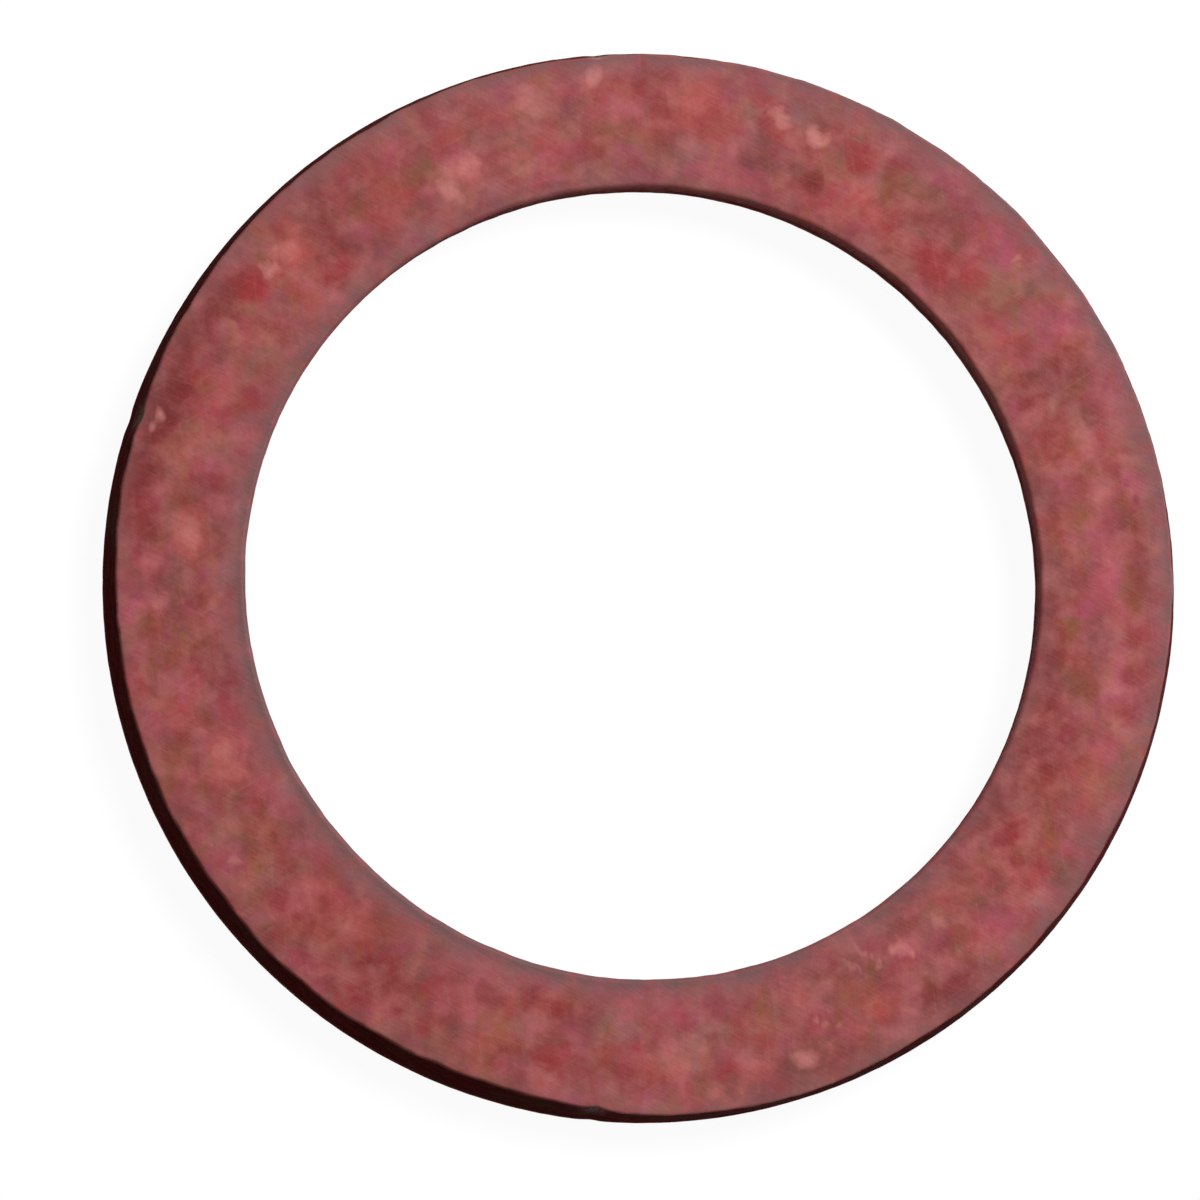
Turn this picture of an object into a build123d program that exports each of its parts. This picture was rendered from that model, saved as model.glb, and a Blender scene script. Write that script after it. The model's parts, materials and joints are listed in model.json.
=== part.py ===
"""Flat ring gasket, punched from red vulcanised fibre sheet.

It is one piece: a thin ring that is clamped between two flat faces around a bolt or a pipe.
The hole and the rim are cut by punches that come down through the sheet, and each leaves its
own kind of edge. The punch rolls the sheet over on one side, shears a straight land, and the
rest of the thickness breaks away at a slant.

    hole: rolled at the top, then a straight land, then a break that opens downwards
    rim:  a break that widens downwards, then a straight land, then rolled at the bottom

Millimetres. The origin is the centre of the bottom face, and +Z is the ring's axis.
"""

import os

from build123d import *

# The ring
thread_diameter = 22.0  # of the bolt or pipe that it fits round
hole_clearance = 0.1  # on the diameter
ring_width = 3.95  # from the hole's land out to the rim's land
thickness = 1.5

# The rim's cut edge
rim_roll_radius = 0.15
rim_land_height = 0.40
rim_break_width = 0.15  # how far the break leans in towards the top face

# The hole's cut edge
hole_roll_radius = 0.14
hole_land_height = 0.50
hole_break_width = 0.05  # how far the break opens towards the bottom face

sharp_edge_radius = 0.04  # the rim's top edge and the hole's bottom edge, dulled by tumbling

hole_radius = (thread_diameter + hole_clearance) / 2
rim_radius = hole_radius + ring_width
rim_land_top = rim_roll_radius + rim_land_height
hole_land_bottom = thickness - hole_roll_radius - hole_land_height

# The section's corners, each as its distance from the axis and its height
rim_foot = (rim_radius, 0)
rim_crest = (rim_radius - rim_break_width, thickness)
hole_crest = (hole_radius, thickness)
hole_foot = (hole_radius + hole_break_width, 0)

rounded_corners = (
    (rim_foot, rim_roll_radius),
    (rim_crest, sharp_edge_radius),
    (hole_crest, hole_roll_radius),
    (hole_foot, sharp_edge_radius),
)

with BuildPart() as gasket_ring:
    with BuildSketch(Plane.XZ) as section:
        with BuildLine():
            Polyline(
                rim_foot,
                (rim_radius, rim_land_top),
                rim_crest,
                hole_crest,
                (hole_radius, hole_land_bottom),
                hole_foot,
                close=True,
            )
        make_face()
        for corner, radius in rounded_corners:
            nearest = section.vertices().sort_by_distance(corner)[0]
            fillet(nearest, radius=radius)
    revolve(axis=Axis.Z)

gasket_ring.part.label = "gasket_ring"

os.makedirs("parts", exist_ok=True)
export_step(gasket_ring.part, "parts/gasket_ring.step")
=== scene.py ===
"""Looks of the flat ring gasket: red vulcanised fibre, punched from sheet, lying on a white table.

The ring is one surface: its section is carried round the axis, and the marks of the punch, the press
and handling move it inwards, by a few hundredths of a millimetre on the faces and by up to about a
quarter of a millimetre along the rim's upper edge. Places on it are given by their angle, anticlockwise
from the picture's right, and by their distance from the axis.
"""

import json
import math

import bpy
import numpy as np
from mathutils import Matrix, Vector


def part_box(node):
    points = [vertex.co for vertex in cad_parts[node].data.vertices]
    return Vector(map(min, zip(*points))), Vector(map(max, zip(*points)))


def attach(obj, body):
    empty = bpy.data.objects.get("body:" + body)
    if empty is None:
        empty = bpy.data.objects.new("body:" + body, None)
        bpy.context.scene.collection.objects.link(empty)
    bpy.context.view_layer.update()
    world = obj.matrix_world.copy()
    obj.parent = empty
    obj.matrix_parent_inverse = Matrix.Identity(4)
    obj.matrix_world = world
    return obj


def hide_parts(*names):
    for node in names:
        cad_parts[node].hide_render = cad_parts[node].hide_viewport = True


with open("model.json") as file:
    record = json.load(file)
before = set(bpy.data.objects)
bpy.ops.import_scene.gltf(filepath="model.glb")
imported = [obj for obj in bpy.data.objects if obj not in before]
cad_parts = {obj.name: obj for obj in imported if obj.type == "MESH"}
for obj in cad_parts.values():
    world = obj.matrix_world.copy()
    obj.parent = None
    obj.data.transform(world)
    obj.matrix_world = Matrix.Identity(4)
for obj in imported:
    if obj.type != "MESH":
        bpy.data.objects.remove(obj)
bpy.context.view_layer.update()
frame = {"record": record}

MM = 0.001

# The section's sizes. The record holds the lands that the punches shear, and the rest is repeated here.
mounts = {mount["name"]: mount["dims"] for mount in frame["record"]["mounts"]}
hole_radius = mounts["hole"]["r_mm"] * MM
hole_land_height = mounts["hole"]["length_mm"] * MM
rim_radius = mounts["rim"]["r_mm"] * MM
rim_land_height = mounts["rim"]["length_mm"] * MM
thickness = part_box("gasket_ring")[1].z
rim_roll_radius = 0.15 * MM
rim_break_width = 0.15 * MM
hole_roll_radius = 0.14 * MM
hole_break_width = 0.05 * MM
sharp_edge_radius = 0.04 * MM

COLUMNS = 1000  # steps round the ring

# What the punches left uneven, as moves into the material
RIM_OVAL = (135, 0.02 * MM)  # one of the angles where the rim is drawn in most, and the wave's amplitude
HOLE_LOBES = (47, 0.015 * MM)  # the same for the hole's three lobes
# The rim's break where the punch's gap was wider or narrower: degrees, reach in degrees and how much
# further in the break goes, in millimetres
PUNCH_GAPS = ((205, 47, 0.125), (251, 12, 0.13), (283, 18, -0.145))
CREST_RAGGED = 0.06 * MM
HOLE_RAGGED = 0.03 * MM
# Where these moves fade out on the faces: how far from the edge they end, and over what width
EDGE_FADE = (1.5 * MM, 1.2 * MM)
CREST_FADE = (1.1 * MM, 0.8 * MM)
ROLL_FADE = 0.5 * MM

# Where the rim and the hole are greyed most, on the sides that face the lamp, where the greying is
# painted sheen over the wear: degrees, and the share of it that is left opposite
RIM_SHEEN_SIDE = (35, 0.2)
HOLE_SHEEN_SIDE = (215, 0.15)
# How far from the edges the grey reaches: a dark line of grime, and the paler wear round it, both
# greyed more on the sides that face the lamp as painted sheen
GRIME_AND_SHEEN_REACH = 0.20 * MM
WEAR_AND_SHEEN_REACH = 0.60 * MM

# Frayed nicks in the rim: degrees, half length and depth in millimetres
NICKS = ((162.5, 0.28, 0.10), (264.7, 0.24, 0.09), (95.0, 0.16, 0.05))
NICK_BELOW = 0.35  # share of a nick's depth below the rim's break
FRAYED_REACH = 1.2  # length of the frayed fibres over the nick's

# Stains on the top face, by kind, and among the dark ones a few long thin spots of painted shade along
# the edges on the side away from the lamp: the angle in degrees, the distance from the axis, the half
# length along the ring and the half width across it in millimetres, the lean of the long axis in degrees,
# the strength
STAINS_AND_EDGE_SHADE = {
    "grey": (
        (338, 11.5, 3.6, 0.45, 0, 0.5),
        (322, 12.1, 1.8, 0.8, 0, 0.3),
        (318, 14.3, 1.5, 0.4, 0, 1.0),
        (312, 11.5, 2.0, 0.2, 0, 0.6),
        (311, 14.3, 0.8, 0.35, 0, 0.6),
        (292, 14.3, 4.5, 0.5, 0, 0.4),
        (292, 11.6, 3.5, 0.5, 0, 0.55),
        (275, 12.5, 1.5, 0.8, 0, 0.5),
        (271, 12.5, 0.8, 0.35, 0, 0.5),
        (266, 12.6, 0.9, 0.4, 0, 0.9),
        (253, 11.45, 0.6, 0.2, 0, 0.7),
        (225, 11.6, 0.6, 0.2, 0, 0.5),
        (218.7, 12.9, 0.4, 0.7, 0, 0.9),
        (202, 14.2, 1.5, 0.4, 0, 0.3),
        (178, 11.6, 1.0, 0.25, 0, 0.7),
        (150.5, 14.2, 0.3, 0.4, 0, 0.6),
        (110, 11.5, 3.5, 0.35, 0, 0.6),
        (82, 12.2, 0.9, 0.5, 0, 0.7),
        (78, 13.6, 0.6, 0.6, 0, 0.3),
        (72, 14.4, 1.8, 0.3, 0, 0.5),
        (72, 14.0, 0.7, 0.55, 0, 1.0),
        (62, 14.4, 3.4, 0.45, 0, 0.7),
        (52, 12.0, 1.6, 0.5, 0, 0.2),
        (49, 14.3, 0.4, 0.3, 0, 0.6),
        (38, 14.3, 0.9, 0.3, 0, 0.8),
        (20, 11.35, 4.5, 0.25, 0, 0.3),
    ),
    "moss": (
        (330.3, 13.2, 0.55, 0.55, 0, 0.9),
        (252, 11.5, 0.6, 0.2, 0, 0.7),
        (218.7, 12.9, 0.45, 0.75, 0, 0.7),
        (211, 13.6, 0.7, 0.5, 0, 0.7),
        (116, 12.2, 0.3, 0.4, 0, 0.4),
        (116, 11.6, 0.4, 0.25, 0, 0.6),
        (98, 12.7, 0.8, 0.5, 0, 0.5),
        (54.5, 13.2, 1.0, 0.5, 0, 0.9),
        (38, 12.95, 1.2, 0.6, 0, 1.0),
        (33.7, 13.1, 0.3, 0.4, 0, 0.5),
    ),
    "olive": (
        (355.5, 13.85, 1.3, 0.25, 0, 0.85),
        (354.5, 11.95, 1.3, 0.35, 0, 1.0),
        (346.5, 12.9, 0.5, 0.4, 0, 0.8),
        (330.3, 13.2, 0.5, 0.5, 0, 0.4),
        (318, 12.3, 0.7, 0.5, 0, 0.4),
        (277, 13.6, 0.12, 0.7, 0, 0.5),
        (252, 13.4, 0.5, 0.5, 0, 0.95),
        (232.5, 12.6, 0.6, 0.7, 0, 0.6),
        (203, 13.75, 0.8, 0.4, -10, 0.8),
        (188, 13.7, 0.9, 0.5, 0, 1.0),
        (176, 13.6, 0.7, 0.3, 0, 0.4),
        (170, 13.2, 0.55, 0.3, 0, 1.0),
        (157, 11.9, 0.7, 0.35, 0, 0.4),
        (149, 13.5, 0.2, 0.4, 0, 0.5),
        (141, 12.9, 0.2, 0.4, 0, 0.6),
        (131.3, 13.7, 0.35, 0.5, 0, 0.5),
        (128.5, 12.8, 0.55, 0.55, 0, 0.9),
        (119, 12.8, 0.3, 0.3, 0, 0.5),
        (67.5, 12.2, 0.6, 0.3, 0, 0.8),
        (28, 13.4, 0.45, 0.4, 0, 0.7),
        (14.5, 13.0, 0.45, 0.3, 0, 0.5),
        (5, 13.85, 1.1, 0.22, 0, 1.0),
        (4, 11.95, 1.2, 0.3, 0, 0.9),
    ),
    "pink": (
        (354, 13.0, 1.3, 0.4, 0, 0.5),
        (346.5, 14.0, 0.6, 0.3, 0, 1.0),
        (277, 12.0, 1.5, 0.4, 0, 0.8),
        (247, 12.2, 1.2, 0.9, 0, 0.5),
        (214.8, 14.0, 0.3, 0.35, 0, 0.7),
        (200, 12.3, 1.0, 0.5, 0, 0.6),
        (196, 14.2, 0.4, 0.15, -20, 0.9),
        (183, 13.5, 0.4, 0.3, 0, 0.4),
        (165, 11.7, 3.0, 0.4, 0, 0.35),
        (112, 14.0, 0.8, 0.4, 0, 0.3),
        (82, 12.9, 1.2, 0.5, 0, 0.3),
        (81, 11.6, 0.8, 0.2, 0, 0.8),
        (52, 14.2, 0.9, 0.4, 0, 0.9),
        (43.5, 13.9, 0.7, 0.45, 0, 0.9),
        (32, 14.0, 0.4, 0.4, 0, 1.0),
        (31, 12.3, 0.45, 0.4, 0, 0.6),
        (11, 14.0, 0.5, 0.3, 0, 1.0),
        (3, 12.95, 1.4, 0.45, 0, 1.0),
    ),
    "warm": (
        (334, 13.7, 0.6, 0.3, 0, 0.5),
        (243, 13.0, 0.8, 0.9, 0, 0.3),
        (235, 14.3, 0.4, 0.3, 0, 0.5),
        (232, 12.9, 0.8, 0.6, 0, 0.4),
        (203.5, 12.6, 0.8, 0.45, 10, 0.7),
        (174, 12.7, 0.8, 0.4, 0, 0.7),
        (154, 12.8, 1.2, 0.4, 0, 0.5),
        (136.5, 13.4, 0.6, 0.5, 0, 0.9),
        (125, 13.8, 0.9, 0.6, 0, 0.3),
        (124, 12.6, 0.8, 0.6, 0, 0.8),
        (114, 13.5, 0.8, 0.4, 0, 0.4),
        (84, 13.3, 1.0, 0.8, 0, 0.8),
        (63, 13.5, 0.6, 0.45, 0, 0.4),
        (63, 11.9, 0.5, 0.3, 0, 0.7),
        (60, 12.1, 0.8, 0.4, 0, 0.5),
    ),
    "red": (
        (347, 14.1, 0.6, 0.25, 0, 0.25),
        (336, 12.4, 1.3, 0.7, 0, 0.5),
        (326, 12.3, 0.55, 0.4, 0, 0.9),
        (323, 13.6, 0.6, 0.3, 0, 0.6),
        (284, 13.6, 0.5, 0.5, 0, 0.5),
        (269, 13.7, 1.0, 0.5, 0, 0.5),
        (258.5, 13.6, 0.5, 0.35, 30, 0.7),
        (257, 12.1, 0.8, 0.25, 10, 0.8),
        (237, 13.3, 0.8, 0.65, 0, 0.9),
        (235, 14.25, 0.45, 0.3, 0, 0.9),
        (234, 12.7, 0.6, 0.5, 0, 0.5),
        (232, 14.3, 1.5, 0.4, 0, 0.4),
        (232, 12.1, 1.2, 0.5, 0, 0.4),
        (224, 13.2, 0.95, 0.95, 0, 0.55),
        (197.5, 13.5, 0.8, 0.5, 0, 0.5),
        (170, 14.2, 1.3, 0.4, -5, 1.0),
        (160, 14.3, 3.4, 0.5, 0, 0.8),
        (146, 12.6, 0.6, 0.4, 10, 0.5),
        (144, 13.9, 0.55, 0.6, 0, 1.0),
        (134.5, 12.3, 0.6, 0.5, 0, 0.9),
        (125, 13.8, 0.9, 0.6, 0, 0.45),
        (111, 12.2, 0.5, 0.4, 0, 0.4),
        (109, 13.7, 0.8, 0.5, 0, 0.3),
        (90, 13.75, 0.75, 0.45, 0, 0.75),
        (67, 12.0, 0.9, 0.4, 0, 0.7),
        (63, 13.5, 0.65, 0.5, 20, 0.8),
        (57, 12.1, 1.0, 0.5, 0, 0.5),
        (53, 14.2, 0.5, 0.4, 0, 0.25),
        (48, 12.1, 0.8, 0.5, 0, 0.9),
        (44, 14.0, 0.6, 0.35, 0, 0.25),
        (43.3, 12.6, 0.5, 0.5, 0, 0.7),
        (22, 12.2, 1.3, 0.5, 0, 0.4),
        (11, 14.1, 0.4, 0.2, 0, 0.25),
    ),
    "dark": (
        (355, 13.0, 1.0, 0.35, 0, 0.3),
        (352, 14.1, 1.6, 0.5, 0, 0.5),
        # painted shade of the hole's edge, on the side away from the lamp
        (352, 11.35, 1.8, 0.3, 0, 0.85),
        (346.5, 12.9, 0.4, 0.35, 0, 0.3),
        (345, 13.95, 0.3, 0.15, 0, 0.5),
        (338.5, 12.1, 0.75, 0.3, -10, 1.0),
        # painted shade of the hole's edge, on the side away from the lamp
        (338, 11.5, 4.2, 0.45, 0, 0.9),
        (337, 13.0, 1.2, 0.5, 0, 0.3),
        (337, 12.2, 1.3, 0.5, 0, 0.75),
        (330.3, 13.2, 0.5, 0.5, 0, 0.6),
        (322, 14.0, 1.2, 0.5, 0, 0.1),
        (322, 12.4, 1.8, 1.0, 0, 0.35),
        # painted shade of the hole's edge, on the side away from the lamp
        (322, 11.3, 5.0, 0.22, 0, 0.75),
        (310, 13.2, 0.35, 0.25, 0, 0.7),
        (308, 11.8, 1.5, 0.4, 0, 0.35),
        (307, 14.3, 1.5, 0.5, 0, 0.9),
        (307, 13.3, 1.5, 0.8, 0, 0.25),
        (292, 14.3, 4.5, 0.5, 0, 0.45),
        (292, 13.2, 0.5, 0.12, 45, 0.4),
        (292, 11.8, 3.4, 0.6, 0, 0.3),
        (279, 12.95, 0.12, 0.3, 0, 0.6),
        (260, 13.2, 0.8, 0.2, 25, 0.4),
        (258.5, 13.6, 0.4, 0.3, 30, 0.3),
        (257, 12.1, 0.8, 0.35, 10, 0.7),
        (253, 13.5, 0.12, 0.12, 0, 0.8),
        (249.5, 12.4, 0.4, 0.25, 20, 0.8),
        (237, 13.3, 0.75, 0.65, 0, 0.7),
        (232, 14.2, 1.5, 0.45, 0, 0.35),
        (228.7, 12.9, 0.12, 1.0, 0, 0.35),
        (224, 13.2, 0.9, 0.9, 0, 0.25),
        # painted shade of the rim's edge, on the side away from the lamp
        (222, 14.7, 10, 0.25, 0, 0.35),
        (218.7, 12.9, 0.4, 0.7, 0, 0.35),
        (215.3, 12.8, 0.1, 0.5, 0, 0.4),
        (203, 13.75, 0.8, 0.4, -10, 0.3),
        (202, 14.2, 1.5, 0.4, 0, 0.3),
        (193, 14.0, 0.25, 0.12, 0, 0.8),
        (192, 12.15, 0.8, 0.45, -15, 0.85),
        (188, 13.7, 0.9, 0.5, 0, 0.45),
        (183.2, 12.5, 0.3, 0.25, 0, 1.0),
        (178, 14.2, 0.6, 0.3, 0, 0.3),
        (173, 14.0, 1.4, 0.5, 0, 0.45),
        (173, 11.9, 1.3, 0.4, 0, 0.45),
        (171, 14.65, 2.2, 0.3, 0, 0.5),
        (170, 14.2, 0.7, 0.25, 0, 0.7),
        (170, 13.2, 0.5, 0.3, 0, 0.6),
        (160, 14.3, 3.6, 0.5, 0, 1.0),
        (155, 13.9, 1.3, 0.5, 0, 0.3),
        (148.3, 13.6, 0.15, 0.5, 0, 0.6),
        (146, 14.65, 2.5, 0.25, 0, 0.35),
        (135, 12.6, 0.15, 0.4, 0, 0.4),
        (131.3, 13.7, 0.35, 0.6, 0, 0.5),
        (127, 13.1, 1.6, 0.7, 0, 0.2),
        (119, 12.6, 0.2, 0.2, 0, 0.7),
        (110, 12.1, 0.25, 0.15, 0, 0.7),
        (106, 11.3, 3.0, 0.15, 0, 0.5),
        (98, 12.7, 0.8, 0.5, 0, 0.2),
        (75.5, 13.6, 0.08, 0.7, 8, 0.5),
        (67, 12.2, 0.4, 0.3, 0, 1.0),
        (66, 14.4, 3.2, 0.45, 0, 0.25),
        (60, 11.4, 4.0, 0.3, 0, 0.35),
        (52, 13.1, 1.3, 0.6, 0, 0.5),
        (52, 12.0, 1.6, 0.5, 0, 0.3),
        (48, 13.6, 0.1, 0.6, 0, 0.4),
        (37.5, 12.9, 0.9, 0.5, 0, 0.1),
        (27.5, 13.4, 0.5, 0.45, 0, 0.85),
        (23, 12.1, 1.5, 0.5, 0, 0.55),
        (22, 13.6, 0.8, 0.5, 0, 0.2),
        # painted shade of the hole's edge, on the side away from the lamp
        (20, 11.35, 4.5, 0.25, 0, 0.45),
        (10.3, 13.95, 0.15, 0.15, 0, 0.9),
        (5, 13.85, 1.1, 0.2, 0, 0.75),
        # painted shade of the hole's edge, on the side away from the lamp
        (5, 11.6, 1.5, 0.15, 0, 0.6),
        (4, 11.95, 1.2, 0.3, 0, 0.3),
        (3, 14.0, 0.8, 0.12, 0, 0.4),
    ),
    "pale": (
        (341, 13.5, 0.6, 0.3, 0, 0.2),
        (311, 12.4, 0.2, 0.2, 0, 0.5),
        (305.5, 12.4, 0.3, 0.22, 0, 0.8),
        (301, 12.1, 0.6, 0.08, 60, 0.6),
        (299, 12.3, 0.6, 0.07, 60, 0.5),
        (292.5, 13.4, 0.35, 0.08, 30, 0.6),
        (288.7, 13.9, 0.4, 0.25, 20, 1.0),
        (276, 13.2, 1.2, 0.7, 0, 0.3),
        (252, 13.3, 0.4, 0.4, 0, 0.15),
        (247, 12.0, 1.4, 0.6, 0, 0.25),
        (214.8, 14.0, 0.12, 0.2, 0, 0.6),
        (203.5, 12.6, 0.5, 0.3, 0, 0.5),
        (183, 13.5, 0.35, 0.2, 0, 0.4),
        (174, 12.7, 0.5, 0.3, 0, 0.45),
        (170, 11.35, 0.25, 0.12, 0, 0.6),
        (164, 13.0, 0.6, 0.4, 0, 0.3),
        (162.5, 14.3, 0.15, 0.15, 0, 1.0),
        (140.8, 13.6, 0.2, 0.25, 0, 0.8),
        (137.5, 13.6, 0.4, 0.35, 0, 0.35),
        (127, 12.1, 1.2, 0.6, 0, 0.15),
        (116, 12.2, 0.3, 0.4, 0, 0.8),
        (112.7, 12.6, 0.35, 0.25, 0, 0.6),
        (110, 12.0, 1.2, 0.5, 0, 0.25),
        (103, 13.9, 0.6, 0.5, 0, 0.45),
        (95.3, 14.25, 0.2, 0.4, 0, 1.0),
        (73.8, 13.6, 0.3, 0.25, 0, 0.6),
        (68.5, 13.5, 0.4, 0.25, 0, 1.0),
        (41, 13.9, 0.12, 0.2, 0, 0.5),
        (38, 11.9, 1.0, 0.5, 0, 0.15),
        (22, 14.2, 1.4, 0.4, 0, 0.2),
        (19.5, 13.1, 0.8, 0.3, -10, 0.4),
        (3, 12.9, 1.2, 0.4, 0, 0.2),
    ),
}


def lattice_noise(points, cell, seed):
    """Smooth noise from 0 to 1. Space is cut into cubes of the cell size, each corner gets a number from a
    hash of its place, and a point blends its cube's eight corners by the smoothstep of its place inside."""
    place = points / cell
    corner = np.floor(place).astype(np.int64)
    inside = place - corner
    inside = inside * inside * (3 - 2 * inside)
    total = np.zeros(points.shape[:-1])
    for step in np.ndindex(2, 2, 2):
        at = corner + step
        number = (at[..., 0] * 73856093) ^ (at[..., 1] * 19349663) ^ (at[..., 2] * 83492791)
        number = (number ^ (seed * 2654435761)) & 0xFFFFFFFF
        number = ((number ^ (number >> 15)) * 2246822519) & 0xFFFFFFFF
        number = ((number ^ (number >> 13)) * 3266489917) & 0xFFFFFFFF
        number = number ^ (number >> 16)
        share = np.where(np.array(step) == 1, inside, 1 - inside).prod(axis=-1)
        total += number / 0xFFFFFFFF * share
    return total


def cloud(points, cell, seed, octaves=3):
    """Cloudy noise from 0 to 1: lattice noise, plus copies each half as large and half as strong."""
    layers = [lattice_noise(points, cell / 2**n, seed + n) / 2**n for n in range(octaves)]
    return sum(layers) / (2 - 0.5 ** (octaves - 1))


def eased(value):
    """The smoothstep of a value: 0 below 0, 1 above 1, and level at both ends."""
    value = np.clip(value, 0, 1)
    return value * value * (3 - 2 * value)


def section_loop():
    """The ring's section, counter-clockwise, as points of distance from the axis and height.

    Each corner is an arc tangent to its two sides, centred on the corner's bisector at its radius over
    the sine of half the corner's angle. The two faces have their points closer together near the edges,
    by the cosine. Returns the points and the name of the zone each one is in.
    """
    land_top = rim_roll_radius + rim_land_height
    land_bottom = thickness - hole_roll_radius - hole_land_height
    # place, radius of its arc, steps in the arc, the arc's zone, steps on the next side, that side's zone
    corners = (
        ((rim_radius, 0), rim_roll_radius, 7, "rim_roll", 6, "rim_land"),
        ((rim_radius, land_top), 0, 0, "rim_land", 15, "rim_break"),
        ((rim_radius - rim_break_width, thickness), sharp_edge_radius, 4, "rim_crest", 27, "top"),
        ((hole_radius, thickness), hole_roll_radius, 7, "hole_roll", 6, "hole_land"),
        ((hole_radius, land_bottom), 0, 0, "hole_land", 9, "hole_break"),
        ((hole_radius + hole_break_width, 0), sharp_edge_radius, 3, "hole_foot", 12, "bottom"),
    )
    places = np.array([corner[0] for corner in corners])
    radii = np.array([corner[1] for corner in corners])[:, None]
    ahead = np.roll(places, -1, axis=0) - places
    ahead /= np.linalg.norm(ahead, axis=1, keepdims=True)
    back = -np.roll(ahead, 1, axis=0)
    half = np.arccos(np.sum(ahead * back, axis=1, keepdims=True)) / 2
    starts = places + back * radii / np.tan(half)
    ends = places + ahead * radii / np.tan(half)
    bisector = back + ahead
    bisector /= np.linalg.norm(bisector, axis=1, keepdims=True) + 1e-12
    centres = places + bisector * radii / np.sin(half)
    points, zones = [], []
    for index, (_, radius, arc_steps, arc_zone, side_steps, side_zone) in enumerate(corners):
        first = math.atan2(*(starts[index] - centres[index])[::-1])
        turn = math.pi - 2 * float(half[index, 0])
        angle = first + turn * np.arange(arc_steps) / max(arc_steps, 1)
        points.append(centres[index] + radius * np.stack([np.cos(angle), np.sin(angle)], axis=1))
        share = np.arange(side_steps)[:, None] / side_steps
        if side_zone in ("top", "bottom"):
            share = 0.25 * share + 0.75 * (1 - np.cos(math.pi * share)) / 2
        points.append(ends[index] + (starts[(index + 1) % len(corners)] - ends[index]) * share)
        zones += [arc_zone] * arc_steps + [side_zone] * side_steps
    return np.concatenate(points), np.array(zones)


section, zones = section_loop()
angles = np.arange(COLUMNS) * 2 * math.pi / COLUMNS


def in_zone(*names, rounds=1):
    """1 on the section's rows in these zones and 0 elsewhere, averaged with the neighbouring rows in one
    or more rounds."""
    mask = np.isin(zones, names).astype(float)
    for _ in range(rounds):
        mask = (np.roll(mask, 1) + 2 * mask + np.roll(mask, -1)) / 4
    return mask[:, None]


def carried_round(profile_points):
    """The section carried round the axis: row s, column t is the section's point s, turned by angle t."""
    radius, height = profile_points[..., 0], profile_points[..., 1]
    return np.stack([radius * np.cos(angles), radius * np.sin(angles), height + 0 * angles], axis=-1)


def turned_from(degrees):
    """How far each column is turned from this angle, in radians, from -pi to pi."""
    return (angles - math.radians(degrees) + math.pi) % (2 * math.pi) - math.pi


def nicked(reach=1.0):
    """How deep the frayed nicks go at each angle, in metres, and what share of the edge they have taken.

    Each nick is a bell of the arc's length from its middle over its half length times the reach.
    """
    depth = np.zeros(COLUMNS)
    taken = np.zeros(COLUMNS)
    for degrees, half_length, deep in NICKS:
        bell = np.exp(-((turned_from(degrees) * rim_radius / (half_length * reach * MM)) ** 2))
        depth += deep * MM * bell
        taken = np.maximum(taken, bell)
    return depth, taken


def uneven_break():
    """How much deeper than its plain width the rim's break goes at each angle, in metres: the sum of the
    gaps' bells, each of the turn from its middle over its reach."""
    deeper = np.zeros(COLUMNS)
    for degrees, reach, deep in PUNCH_GAPS:
        deeper += deep * MM * np.exp(-((turned_from(degrees) / math.radians(reach)) ** 2))
    return deeper


def bitten(edge_radius, cell, seed, octaves=3):
    """Where an edge is ragged, as a share: cloudy noise along it, at twice its contrast and less 0.6, so
    that the low parts are cut off and stretches of the edge stay whole."""
    along_edge = carried_round(np.array([edge_radius, 0.0]))
    return np.clip(2 * cloud(along_edge, cell, seed, octaves) - 0.6, 0, 1)


def drawn_in(loop):
    """The section's rows, moved towards the middle of the ring's width, as the punches left it.

    The rim is oval and the hole has three faint lobes, each by a cosine of the angle. The rim's break is
    deeper where the punch had a wider gap, its upper edge and the hole's are ragged, and the nicks are cut
    into the rim. Each move fades out on the faces by a smoothstep of the distance from its edge.
    """
    radius, height = loop[..., 0], loop[..., 1]
    at_rim = eased((radius - (rim_radius - EDGE_FADE[0])) / EDGE_FADE[1])
    at_crest = eased((radius - (rim_radius - CREST_FADE[0])) / CREST_FADE[1])
    at_hole = eased(((hole_radius + EDGE_FADE[0]) - radius) / EDGE_FADE[1])
    land_top = rim_roll_radius + rim_land_height
    above_land = np.clip((height - land_top) / (thickness - land_top), 0, 1)
    ragged = CREST_RAGGED * bitten(rim_radius, 1.3 * MM, seed=51, octaves=4)
    oval = RIM_OVAL[1] * (1 + np.cos(2 * turned_from(RIM_OVAL[0])))
    lobes = HOLE_LOBES[1] * (1 + np.cos(3 * turned_from(HOLE_LOBES[0])))
    near_top = np.clip((height - 0.5 * thickness) / (0.5 * thickness), 0, 1)
    at_roll = eased(((hole_radius + ROLL_FADE) - radius) / ROLL_FADE) * near_top
    chatter = HOLE_RAGGED * at_roll * bitten(hole_radius, 0.7 * MM, seed=59)
    nicks = nicked()[0] * (NICK_BELOW + (1 - NICK_BELOW) * above_land)
    inwards = at_rim * oval + at_crest * (above_land * (uneven_break() + ragged) + nicks)
    return np.stack([radius - inwards + at_hole * lobes + chatter, height], axis=-1)


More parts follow.
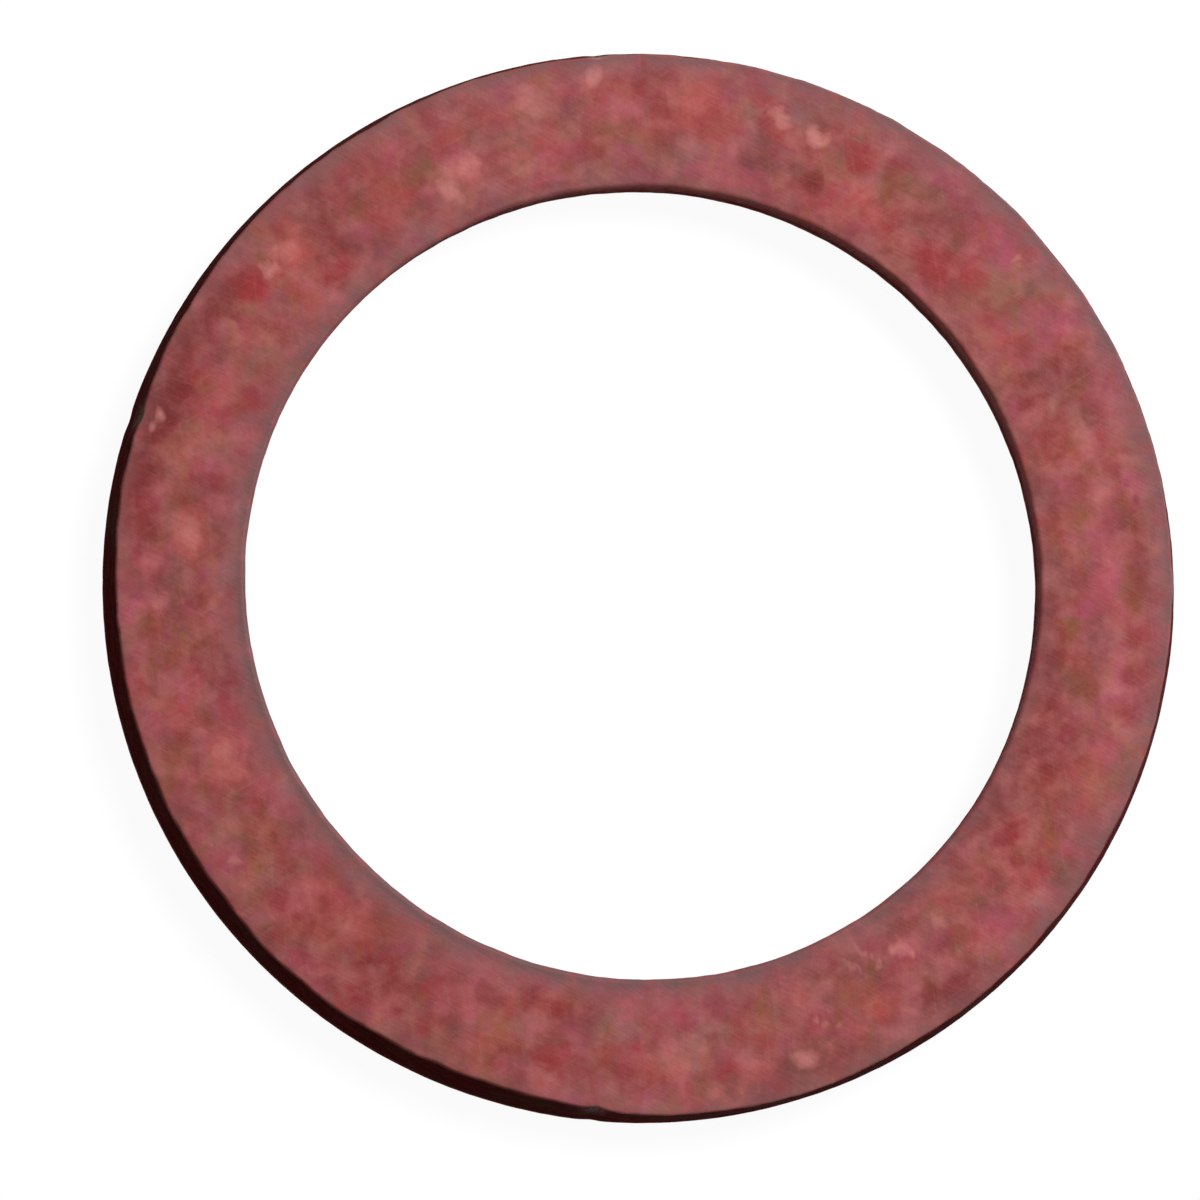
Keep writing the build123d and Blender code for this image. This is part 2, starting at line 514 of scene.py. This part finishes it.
def relief(points):
    """How far the real surface lies inside the ideal section, in metres, for each point of the grid."""
    flat = in_zone("top", "bottom", "hole_roll")
    rim_break = in_zone("rim_break", "rim_crest")
    hole_break = in_zone("hole_break", "hole_foot")
    lands = in_zone("rim_land", "hole_land", "rim_roll")
    pressed = 0.010 * MM * cloud(points, 1.1 * MM, seed=11)
    plies = cloud(points * (1, 1, 4), 0.45 * MM, seed=23)
    torn = 0.045 * MM * plies**1.5
    sheared = 0.012 * MM * cloud(points * (1, 1, 0.15), 0.25 * MM, seed=37, octaves=2)
    return flat * pressed + (rim_break + 0.7 * hole_break) * torn + (lands + rim_break + hole_break) * sheared


def gasket_mesh():
    """A closed surface: the section carried round the axis, drawn in by the punches' marks, and then moved
    inwards along its normal by the relief. Returns the mesh and its grid of points."""
    loop = np.repeat(section[:, None, :], COLUMNS, axis=1)
    along = np.roll(section, -1, axis=0) - np.roll(section, 1, axis=0)
    outward = np.stack([along[:, 1], -along[:, 0]], axis=1)
    outward /= np.linalg.norm(outward, axis=1, keepdims=True)
    moved = drawn_in(loop) - outward[:, None, :] * relief(carried_round(loop))[..., None]
    points = carried_round(moved)
    rows = len(section)
    row, column = np.meshgrid(np.arange(rows), np.arange(COLUMNS), indexing="ij")
    next_row, next_column = (row + 1) % rows, (column + 1) % COLUMNS
    quads = np.stack(
        [
            row * COLUMNS + column,
            row * COLUMNS + next_column,
            next_row * COLUMNS + next_column,
            next_row * COLUMNS + column,
        ],
        axis=-1,
    ).reshape(-1, 4)
    mesh = bpy.data.meshes.new("gasket")
    mesh.from_pydata(points.reshape(-1, 3), [], quads)
    mesh.polygons.foreach_set("use_smooth", np.ones(len(quads), bool))
    mesh.update()
    return mesh, points


def spot_strength(points, spots):
    """How strong one kind of spot is at each point, as a share: stains, and the dark spots of painted shade
    along the edges.

    A spot is an ellipse in the lengths along the ring and across it, turned by its lean. Cloudy noise
    pushes its outline about, and it fades out across that outline by a smoothstep. Where spots of the kind
    meet, the strongest counts.
    """
    push = [(cloud(points, 0.5 * MM, seed) - 0.5) * 0.7 * MM for seed in (71, 83)]
    distance = np.hypot(points[..., 0], points[..., 1])
    strongest = np.zeros(points.shape[:-1])
    for degrees, radius, half_length, half_width, lean, strength in spots:
        across = distance + push[0] - radius * MM
        along = turned_from(degrees) * distance + push[1]
        tip = math.radians(lean)
        u = (along * math.cos(tip) + across * math.sin(tip)) / (half_length * MM)
        v = (across * math.cos(tip) - along * math.sin(tip)) / (half_width * MM)
        strongest = np.maximum(strongest, strength * eased(1.25 - 0.75 * np.hypot(u, v)))
    return strongest * in_zone("top", "rim_crest", "hole_roll")


def greyed_with_sheen(reach):
    """How grey the edges are at each point, as a share: a bell of the distance from the rim's crest or from
    the hole's roll over the reach, times a share that falls by the cosine from the side that faces the
    lamp to the other. Wear and grime grey the edges all round, and the rise towards the lamp is painted
    sheen."""
    radius = section[:, :1]
    greys = []
    for edge, (degrees, least) in ((rim_crest, RIM_SHEEN_SIDE), (hole_crest, HOLE_SHEEN_SIDE)):
        share = (1 + least) / 2 + (1 - least) / 2 * np.cos(turned_from(degrees))
        greys.append(share * np.exp(-(((radius - edge) / reach) ** 2)))
    return np.maximum(*greys) * in_zone("top", "bottom", "hole_roll", rounds=2)


def set_attribute(mesh, name, values):
    """Stores one number for each of the mesh's points."""
    attribute = mesh.attributes.new(name, "FLOAT", "POINT")
    attribute.data.foreach_set("value", np.broadcast_to(values, (len(section), COLUMNS)).ravel())


mesh, points = gasket_mesh()
gasket = bpy.data.objects.new("gasket", mesh)
bpy.context.scene.collection.objects.link(gasket)

rim_crest = rim_radius - rim_break_width
hole_crest = hole_radius + hole_roll_radius
set_attribute(mesh, "cut", in_zone("rim_roll", "rim_land", "rim_break", "hole_land", "hole_break"))
set_attribute(mesh, "torn", in_zone("rim_break", "hole_break"))
set_attribute(mesh, "in_hole", in_zone("hole_roll", "hole_land", "hole_break", "hole_foot"))
# The edges' grey: wear and grime all round, and painted sheen on the sides that face the lamp
set_attribute(mesh, "grime_and_sheen", greyed_with_sheen(GRIME_AND_SHEEN_REACH))
set_attribute(mesh, "wear_and_sheen", greyed_with_sheen(WEAR_AND_SHEEN_REACH))
upper = eased((section[:, 1:] / thickness - 0.45) / 0.4)
frayed = nicked(FRAYED_REACH)[1] * upper * in_zone("rim_crest", "rim_break", rounds=2)
set_attribute(mesh, "frayed", frayed)
for kind, spots in STAINS_AND_EDGE_SHADE.items():
    set_attribute(mesh, kind, spot_strength(points, spots))


SHEEN = 0.027  # linear light that the face's sheen adds to its colour


def as_seen(red, green, blue):
    """The linear colour of a shade given as it looks on the screen, in numbers up to 255, less the sheen."""
    shares = np.array([red, green, blue]) / 255
    linear = np.where(shares <= 0.04045, shares / 12.92, ((shares + 0.055) / 1.055) ** 2.4)
    return tuple(np.clip(linear - SHEEN, 0, 1)) + (1,)


def node(tree, kind, **inputs):
    """Adds a shader node and fills its sockets, each with a value or with another node's output."""
    made = tree.nodes.new("ShaderNode" + kind)
    for name, value in inputs.items():
        socket = made.inputs[name.replace("_", " ")]
        if isinstance(value, bpy.types.NodeSocket):
            tree.links.new(value, socket)
        else:
            socket.default_value = value
    return made


def join(tree, made, places):
    """Fills sockets by their number, each with a value or with another node's output."""
    for index, value in places.items():
        if isinstance(value, bpy.types.NodeSocket):
            tree.links.new(value, made.inputs[index])
        else:
            made.inputs[index].default_value = value


def maths(tree, operation, first, second):
    """Two values added, multiplied or compared."""
    made = node(tree, "Math")
    made.operation = operation
    join(tree, made, {0: first, 1: second})
    return made.outputs[0]


def mixed(tree, amount, first, second):
    """The first colour at amount 0 and the second at amount 1."""
    made = node(tree, "Mix")
    made.data_type = "RGBA"
    join(tree, made, {0: amount, 6: first, 7: second})
    return made.outputs[2]


def spread(tree, value, low, high):
    """0 below the low value and 1 above the high one."""
    return node(tree, "MapRange", Value=value, From_Min=low, From_Max=high).outputs["Result"]


def between(tree, value, low, high, least, most):
    """The least at the low value and the most at the high one."""
    made = node(tree, "MapRange", Value=value, From_Min=low, From_Max=high, To_Min=least, To_Max=most)
    return made.outputs["Result"]


def brightened(tree, colour, amount):
    """The colour times the amount."""
    made = node(tree, "VectorMath")
    made.operation = "SCALE"
    join(tree, made, {0: colour, 3: amount})
    return made.outputs[0]


def noise(tree, place, scale, detail=3.0, roughness=0.55):
    """Cloudy noise, mostly between 0.25 and 0.75."""
    made = node(tree, "TexNoise", Vector=place, Scale=scale, Detail=detail, Roughness=roughness)
    return made.outputs["Fac"]


def shifted(tree, place, location=(0, 0, 0), turn=0.0, scale=(1, 1, 1)):
    """The place moved, turned about the ring's axis and then scaled, so that each pattern is its own."""
    turned = node(tree, "Mapping", Vector=place, Location=location, Rotation=(0, 0, turn))
    return node(tree, "Mapping", Vector=turned.outputs[0], Scale=scale).outputs[0]


def attribute(tree, name):
    """A number stored for the mesh's points."""
    made = node(tree, "Attribute")
    made.attribute_name = name
    return made.outputs["Fac"]


# The fibre's shades, as they look on the screen
BROWNER = as_seen(146, 87, 79)
REDDER = as_seen(158, 79, 84)
SHADES = {
    "grey": as_seen(148, 102, 103),
    "moss": as_seen(147, 101, 83),
    "olive": as_seen(142, 87, 62),
    "pink": as_seen(173, 85, 103),
    "warm": as_seen(178, 88, 83),
    "red": as_seen(158, 61, 64),
    "dark": as_seen(124, 53, 51),
    "pale": as_seen(202, 126, 121),
}
PALE_FIBRE = as_seen(190, 126, 120)
DARK_FIBRE = as_seen(104, 44, 42)
# The edges' grey shades: wear and grime, and painted sheen where the edges face the lamp
WORN_AND_SHEEN = as_seen(142, 97, 101)
GRIME_AND_SHEEN = as_seen(112, 85, 84)
FRAYED = as_seen(186, 140, 134)
# How much of each kind of stain is scattered over both faces, by cloudy noise of its own
SCATTERED = {
    "grey": 0.5,
    "moss": 0.75,
    "olive": 1.0,
    "pink": 0.95,
    "warm": 0.45,
    "red": 0.7,
    "dark": 0.45,
    "pale": 0.4,
}
# The light and dark clouds' least and most brightness, under the stains and over them
CLOUDS_UNDER = (0.60, 1.36)
CLOUDS_OVER = (0.79, 1.16)
FIBRE_TURNS = (0.35, 1.45, 2.6)  # the directions that the fine fibres lie in, in radians

# The walls' colours, linear: on the rim partly the fibre's own deep red and partly painted shade, and
# in the hole painted lighter, as painted light
PLIES_DEEP = (0.040, 0.004, 0.004, 1)
PLIES_RAISED = (0.150, 0.013, 0.012, 1)
BROWN_TINGE = (0.075, 0.028, 0.018, 1)
SHEARED_DARK = (0.10, 0.008, 0.008, 1)
SHEARED_LIGHT = (0.18, 0.016, 0.015, 1)
# The hole's sheared wall, painted lighter and redder than the rim's, as painted light
HOLE_WALL_LIT_DARK = (0.50, 0.10, 0.095, 1)
HOLE_WALL_LIT_LIGHT = (0.64, 0.17, 0.16, 1)
# Lighter patches on the hole's wall, painted light
HOLE_WALL_LIT_PATCH = (0.56, 0.20, 0.19, 1)
# Painted light: the hole's break is drawn brighter than the rim's by this factor
HOLE_BREAK_PAINTED_LIGHT = 2.0  # brightness of the hole's break over the rim's


def face_colour(tree, place):
    """Clouds of brown and red, and of light and dark, then each kind of stain: the named spots, with soft
    ragged outlines, and the same shade scattered by noise; some dark spots along the edges are painted
    shade. Fine fibres, pale and dark, lie over it in three directions, the light and dark clouds come
    through again, weaker, and the edges are greyed by wear and grime, and by painted sheen on the sides
    that face the lamp."""
    broad = noise(tree, place, 0.6, 3, 0.5)
    colour = mixed(tree, spread(tree, broad, 0.36, 0.64), BROWNER, REDDER)
    bright = noise(tree, shifted(tree, place, (4, 1, 9)), 0.8, 5, 0.52)
    colour = brightened(tree, colour, between(tree, bright, 0.28, 0.72, *CLOUDS_UNDER))
    ragged = noise(tree, shifted(tree, place, (3, 7, 1)), 1.8, 4, 0.55)
    for number, (kind, shade) in enumerate(SHADES.items()):
        strength = attribute(tree, kind)
        uneven = maths(tree, "ADD", strength, between(tree, ragged, 0.25, 0.75, -0.3, 0.3))
        spot = maths(tree, "MULTIPLY", spread(tree, uneven, -0.05, 1.0), spread(tree, strength, 0.0, 0.3))
        own = shifted(tree, place, (11 * number + 5, 17 * number + 3, 7 * number + 1), 0.9 * number)
        scattered = spread(tree, noise(tree, own, 0.8 + 0.12 * number, 3, 0.45), 0.45, 0.75)
        scattered = maths(tree, "MULTIPLY", scattered, SCATTERED[kind])
        colour = mixed(tree, maths(tree, "MAXIMUM", spot, scattered), colour, shade)
    for number, turn in enumerate(FIBRE_TURNS):
        lying = shifted(tree, place, (13 * number, 5 * number, 3 * number), turn, (0.9, 9, 3))
        lying = noise(tree, lying, 1.0, 3, 0.55)
        pale = maths(tree, "MULTIPLY", spread(tree, lying, 0.58, 0.78), 0.15)
        dark = maths(tree, "MULTIPLY", spread(tree, lying, 0.42, 0.22), 0.16)
        colour = mixed(tree, pale, colour, PALE_FIBRE)
        colour = mixed(tree, dark, colour, DARK_FIBRE)
    colour = brightened(tree, colour, between(tree, bright, 0.28, 0.72, *CLOUDS_OVER))
    # Wear and grime on the edges, greyed more on the sides facing the lamp as painted sheen
    wear_and_sheen = maths(tree, "MULTIPLY", attribute(tree, "wear_and_sheen"), between(tree, ragged, 0.33, 0.67, 0.25, 1.0))
    colour = mixed(tree, wear_and_sheen, colour, WORN_AND_SHEEN)
    grime_and_sheen_share = maths(tree, "MULTIPLY", attribute(tree, "grime_and_sheen"), between(tree, ragged, 0.30, 0.60, 0.25, 0.85))
    return mixed(tree, grime_and_sheen_share, colour, GRIME_AND_SHEEN)


def wall_colour(tree, place):
    """Deep red where the punch has sheared it, darker between the plies of the break, with a brown tinge.
    On the rim these are partly the fibre's own deep red and partly painted shade. In the hole the walls
    are painted lighter, as painted light: the break twice as light, the sheared wall lighter and
    redder, and lighter patches."""
    # On the rim these dark reds are partly the fibre's own and partly painted shade
    plies = noise(tree, shifted(tree, place, scale=(1, 1, 5)), 2.4, 5, 0.65)
    colour = mixed(tree, spread(tree, plies, 0.30, 0.70), PLIES_DEEP, PLIES_RAISED)
    tinge = spread(tree, noise(tree, shifted(tree, place, (2, 8, 5)), 0.6, 3), 0.48, 0.68)
    colour = mixed(tree, maths(tree, "MULTIPLY", tinge, 0.6), colour, BROWN_TINGE)
    in_hole = attribute(tree, "in_hole")
    # The hole's break painted twice as light as the rim's, as painted light
    colour = brightened(tree, colour, between(tree, in_hole, 0, 1, 1.0, HOLE_BREAK_PAINTED_LIGHT))
    streaks = noise(tree, shifted(tree, place, scale=(1, 1, 0.12)), 6.0, 3)
    streaks = spread(tree, streaks, 0.35, 0.65)
    sheared = mixed(tree, streaks, SHEARED_DARK, SHEARED_LIGHT)
    # The hole's sheared wall painted lighter and redder, as painted light
    lit_hole_wall = mixed(tree, streaks, HOLE_WALL_LIT_DARK, HOLE_WALL_LIT_LIGHT)
    sheared = mixed(tree, in_hole, sheared, lit_hole_wall)
    colour = mixed(tree, attribute(tree, "torn"), sheared, colour)
    # Lighter patches on the hole's wall, painted light
    lit_patches = noise(tree, shifted(tree, place, (6, 3, 4), scale=(1, 1, 0.5)), 1.1, 5, 0.65)
    lit_patches = maths(tree, "MULTIPLY", in_hole, spread(tree, lit_patches, 0.44, 0.76))
    return mixed(tree, lit_patches, colour, HOLE_WALL_LIT_PATCH)


def red_fibre():
    """Red vulcanised fibre: a calendered face, cloudy and faintly fibrous, and rougher, deeper red edges,
    darker still on the rim as painted shade and lighter in the hole as painted light.
    """
    material = bpy.data.materials.new("red_fibre")
    material.use_nodes = True
    tree = material.node_tree
    tree.nodes.clear()
    coordinates = node(tree, "TexCoord").outputs["Object"]
    place = shifted(tree, coordinates, scale=(1000, 1000, 1000))
    grain = noise(tree, place, 9.0, 4, 0.6)
    lying = noise(tree, shifted(tree, place, turn=0.5, scale=(1.2, 8, 2)), 1.6, 3)
    height = maths(tree, "ADD", grain, lying)
    bump = node(tree, "Bump", Strength=0.6, Distance=0.000012, Height=height)
    face = node(
        tree,
        "BsdfPrincipled",
        Base_Color=face_colour(tree, place),
        Roughness=node(tree, "MapRange", Value=lying, To_Min=0.52, To_Max=0.72).outputs["Result"],
        Normal=bump.outputs["Normal"],
    )
    face.inputs["Specular IOR Level"].default_value = 0.3
    plies = noise(tree, shifted(tree, place, scale=(1, 1, 5)), 4.0, 4, 0.65)
    torn_bump = node(tree, "Bump", Strength=0.8, Distance=0.00003, Height=plies)
    torn = torn_bump.outputs["Normal"]
    wall = node(tree, "BsdfPrincipled", Base_Color=wall_colour(tree, place), Normal=torn)
    wall.inputs["Roughness"].default_value = 0.9
    wall.inputs["Specular IOR Level"].default_value = 0.05
    frayed = node(tree, "BsdfPrincipled", Base_Color=FRAYED, Roughness=0.9)
    frayed.inputs["Specular IOR Level"].default_value = 0.1
    either = node(tree, "MixShader", Fac=attribute(tree, "cut"))
    join(tree, either, {1: face.outputs[0], 2: wall.outputs[0]})
    fibres = spread(tree, noise(tree, shifted(tree, place, scale=(1, 1, 0.4)), 7.0, 4, 0.7), 0.30, 0.55)
    finished = node(tree, "MixShader", Fac=maths(tree, "MULTIPLY", attribute(tree, "frayed"), fibres))
    join(tree, finished, {1: either.outputs[0], 2: frayed.outputs[0]})
    node(tree, "OutputMaterial", Surface=finished.outputs[0])
    return material


mesh.materials.append(red_fibre())

# The table: a grey floor that is lifted to white where the camera or a reflection sees it
FLOOR_COLOUR = 0.06
FLOOR_LIFT = 0.95
FLOOR_HALF_WIDTH = 1.5
FILL = 0.16  # strength of the even light from all sides


def seen_directly(tree):
    """1 for rays from the camera, a reflection or a transmission, and 0 for the light that spreads."""
    path = node(tree, "LightPath")
    either = maths(tree, "MAXIMUM", path.outputs["Is Camera Ray"], path.outputs["Is Glossy Ray"])
    return maths(tree, "MAXIMUM", either, path.outputs["Is Transmission Ray"])


def table_top():
    """A matt surface, and a glow of the lift that only the camera and reflections see."""
    material = bpy.data.materials.new("table")
    material.use_nodes = True
    tree = material.node_tree
    tree.nodes.clear()
    matt = node(tree, "BsdfDiffuse", Color=(FLOOR_COLOUR,) * 3 + (1,))
    glow = node(tree, "Emission", Strength=maths(tree, "MULTIPLY", seen_directly(tree), FLOOR_LIFT))
    both = node(tree, "AddShader")
    join(tree, both, {0: matt.outputs[0], 1: glow.outputs[0]})
    node(tree, "OutputMaterial", Surface=both.outputs[0])
    return material


floor_mesh = bpy.data.meshes.new("floor")
floor_corners = [
    (x * FLOOR_HALF_WIDTH, y * FLOOR_HALF_WIDTH, 0) for x, y in ((-1, -1), (1, -1), (1, 1), (-1, 1))
]
floor_mesh.from_pydata(floor_corners, [], [(0, 1, 2, 3)])
floor_mesh.materials.append(table_top())
floor = bpy.data.objects.new("floor", floor_mesh)
bpy.context.scene.collection.objects.link(floor)

world = bpy.data.worlds.new("studio")
bpy.context.scene.world = world
world.use_nodes = True
tree = world.node_tree
tree.nodes.clear()
strength = node(tree, "MapRange", To_Min=FILL, To_Max=1.0, Value=seen_directly(tree))
background = node(tree, "Background", Strength=strength.outputs["Result"])
node(tree, "OutputWorld", Surface=background.outputs[0])

# The lamp: a softbox at the upper right
KEY_DIRECTION = math.radians(39)  # from the picture's right, anticlockwise
KEY_ELEVATION = math.radians(50)
KEY_DISTANCE = 0.32
KEY_SIZE = 0.115
KEY_LEVEL = 0.825  # share of the light that would show a colour as written

lamp = bpy.data.lights.new("softbox", "AREA")
lamp.shape = "DISK"
lamp.size = KEY_SIZE
lamp.energy = KEY_LEVEL * math.pi**2 * KEY_DISTANCE**2 / math.sin(KEY_ELEVATION)
softbox = bpy.data.objects.new("softbox", lamp)
aim = Vector(
    (
        math.cos(KEY_DIRECTION) * math.cos(KEY_ELEVATION),
        math.sin(KEY_DIRECTION) * math.cos(KEY_ELEVATION),
        math.sin(KEY_ELEVATION),
    )
)
softbox.location = aim * KEY_DISTANCE
softbox.rotation_mode = "QUATERNION"
softbox.rotation_quaternion = aim.to_track_quat("Z", "Y")
softbox.visible_camera = False
bpy.context.scene.collection.objects.link(softbox)

# The camera: 9 degrees off the ring's axis, from the lower left, with the picture's up along +Y
TILT = math.radians(8.9)
SIDE = math.radians(129)  # the side that it leans to, clockwise from the picture's right
CAMERA_DISTANCE = 0.4
SENSOR_WIDTH = 36  # in millimetres, as is the lens
VIEW_WIDTH = 33.37 * MM
OFFSET = (-1.152 * MM, -0.432 * MM)  # along the picture's right and up

back = Vector((math.cos(SIDE) * math.sin(TILT), -math.sin(SIDE) * math.sin(TILT), math.cos(TILT)))
right = Vector((0, 1, 0)).cross(back).normalized()
up = back.cross(right)
camera_data = bpy.data.cameras.new("camera")
camera_data.sensor_width = SENSOR_WIDTH
camera_data.lens = SENSOR_WIDTH * CAMERA_DISTANCE / VIEW_WIDTH
camera = bpy.data.objects.new("camera", camera_data)
middle = Vector((0, 0, thickness / 2))
camera.matrix_world = Matrix.Translation(
    middle + back * CAMERA_DISTANCE + right * OFFSET[0] + up * OFFSET[1]
) @ Matrix((right, up, back)).transposed().to_4x4()
bpy.context.scene.collection.objects.link(camera)
bpy.context.scene.camera = camera
bpy.context.scene.view_settings.view_transform = "Standard"

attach(gasket, "root")
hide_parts("gasket_ring")
